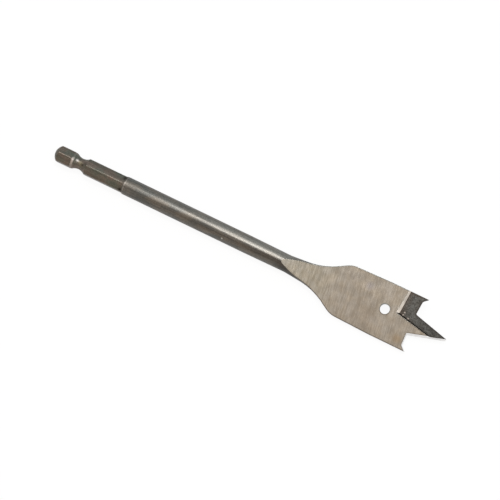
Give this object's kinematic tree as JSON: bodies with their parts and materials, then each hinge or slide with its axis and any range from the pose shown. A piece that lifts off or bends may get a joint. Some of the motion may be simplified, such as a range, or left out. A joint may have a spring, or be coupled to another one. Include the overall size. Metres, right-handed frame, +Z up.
{
  "type": "spade drill bit",
  "caption": "Flat wood-boring bit with a long ground centre point, raked cutting lips with outer spurs, a hanging hole, a round shaft and a grooved hex shank.",
  "frame": {"origin": "on the axis at the shank's domed end", "axes": "+X along the axis from the shank to the point, +Z up with the bit lying on its shaft and on one edge of the blade, +Y towards the raised edge"},
  "size_m": [0.1692, 0.0218, 0.0072],
  "materials": {
    "steel": "dark tumbled shank and shaft, with the blade's faces ground to a satin finish"
  },
  "bodies": {
    "root": {"spade_bit": "steel"}
  },
  "joints": []
}
